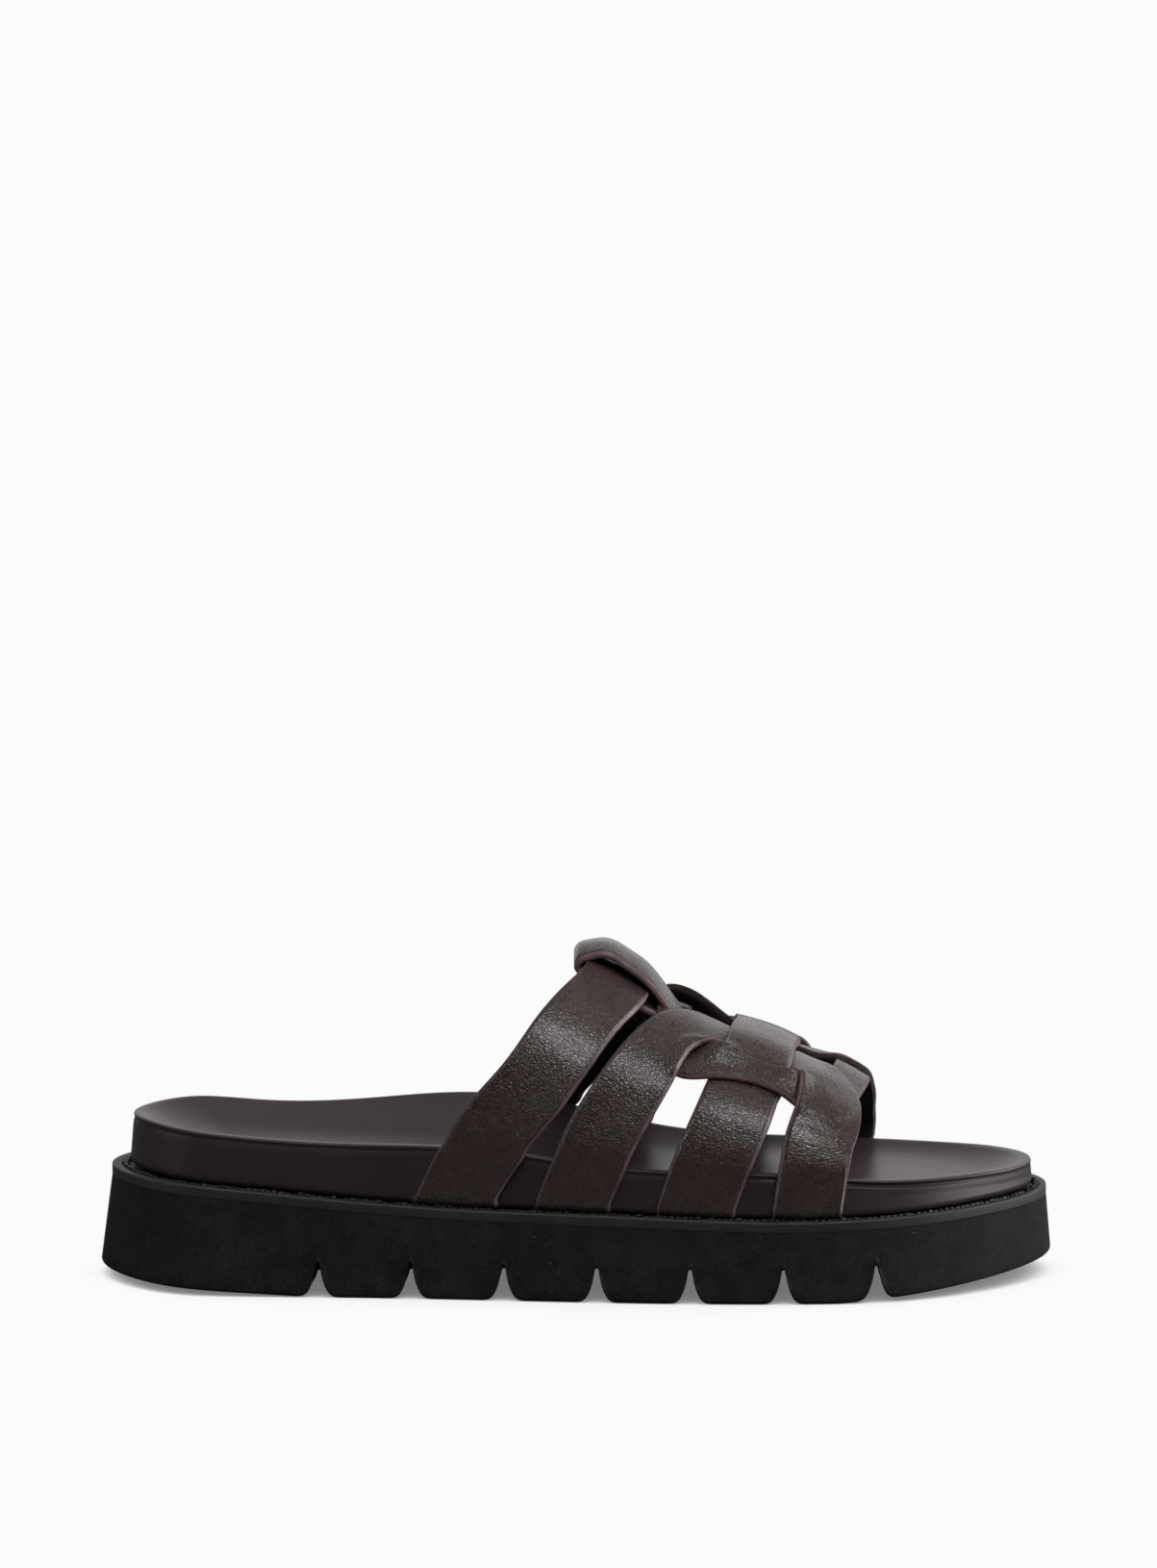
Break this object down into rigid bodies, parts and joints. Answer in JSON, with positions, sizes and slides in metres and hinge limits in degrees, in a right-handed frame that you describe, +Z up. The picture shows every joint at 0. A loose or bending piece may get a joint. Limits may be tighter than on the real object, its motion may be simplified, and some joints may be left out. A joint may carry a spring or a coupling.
{
  "type": "footbed sandal",
  "caption": "Slip-on footbed sandal for the right foot: woven leather strap upper, contoured wrapped footbed, welt strip and thick lugged foam sole.",
  "frame": {"origin": "on the floor, under the middle of the whole shoe's box", "axes": "+X from the heel to the toe, +Y towards the inner side of the foot, +Z up"},
  "size_m": [0.2804, 0.1046, 0.0986],
  "materials": {
    "foam_rubber": "matt black foam rubber with fine pale specks",
    "welt_rubber": "smooth dark grey rubber strip, satin, with black twisted stitching in a groove",
    "footbed_lining": "smooth dark brown lining leather, satin",
    "strap_leather": "pebbled dark brown leather with soft gloss and painted edges"
  },
  "bodies": {
    "root": {"outsole": "foam_rubber", "welt": "welt_rubber", "footbed": "footbed_lining", "upper": "strap_leather"}
  },
  "joints": []
}
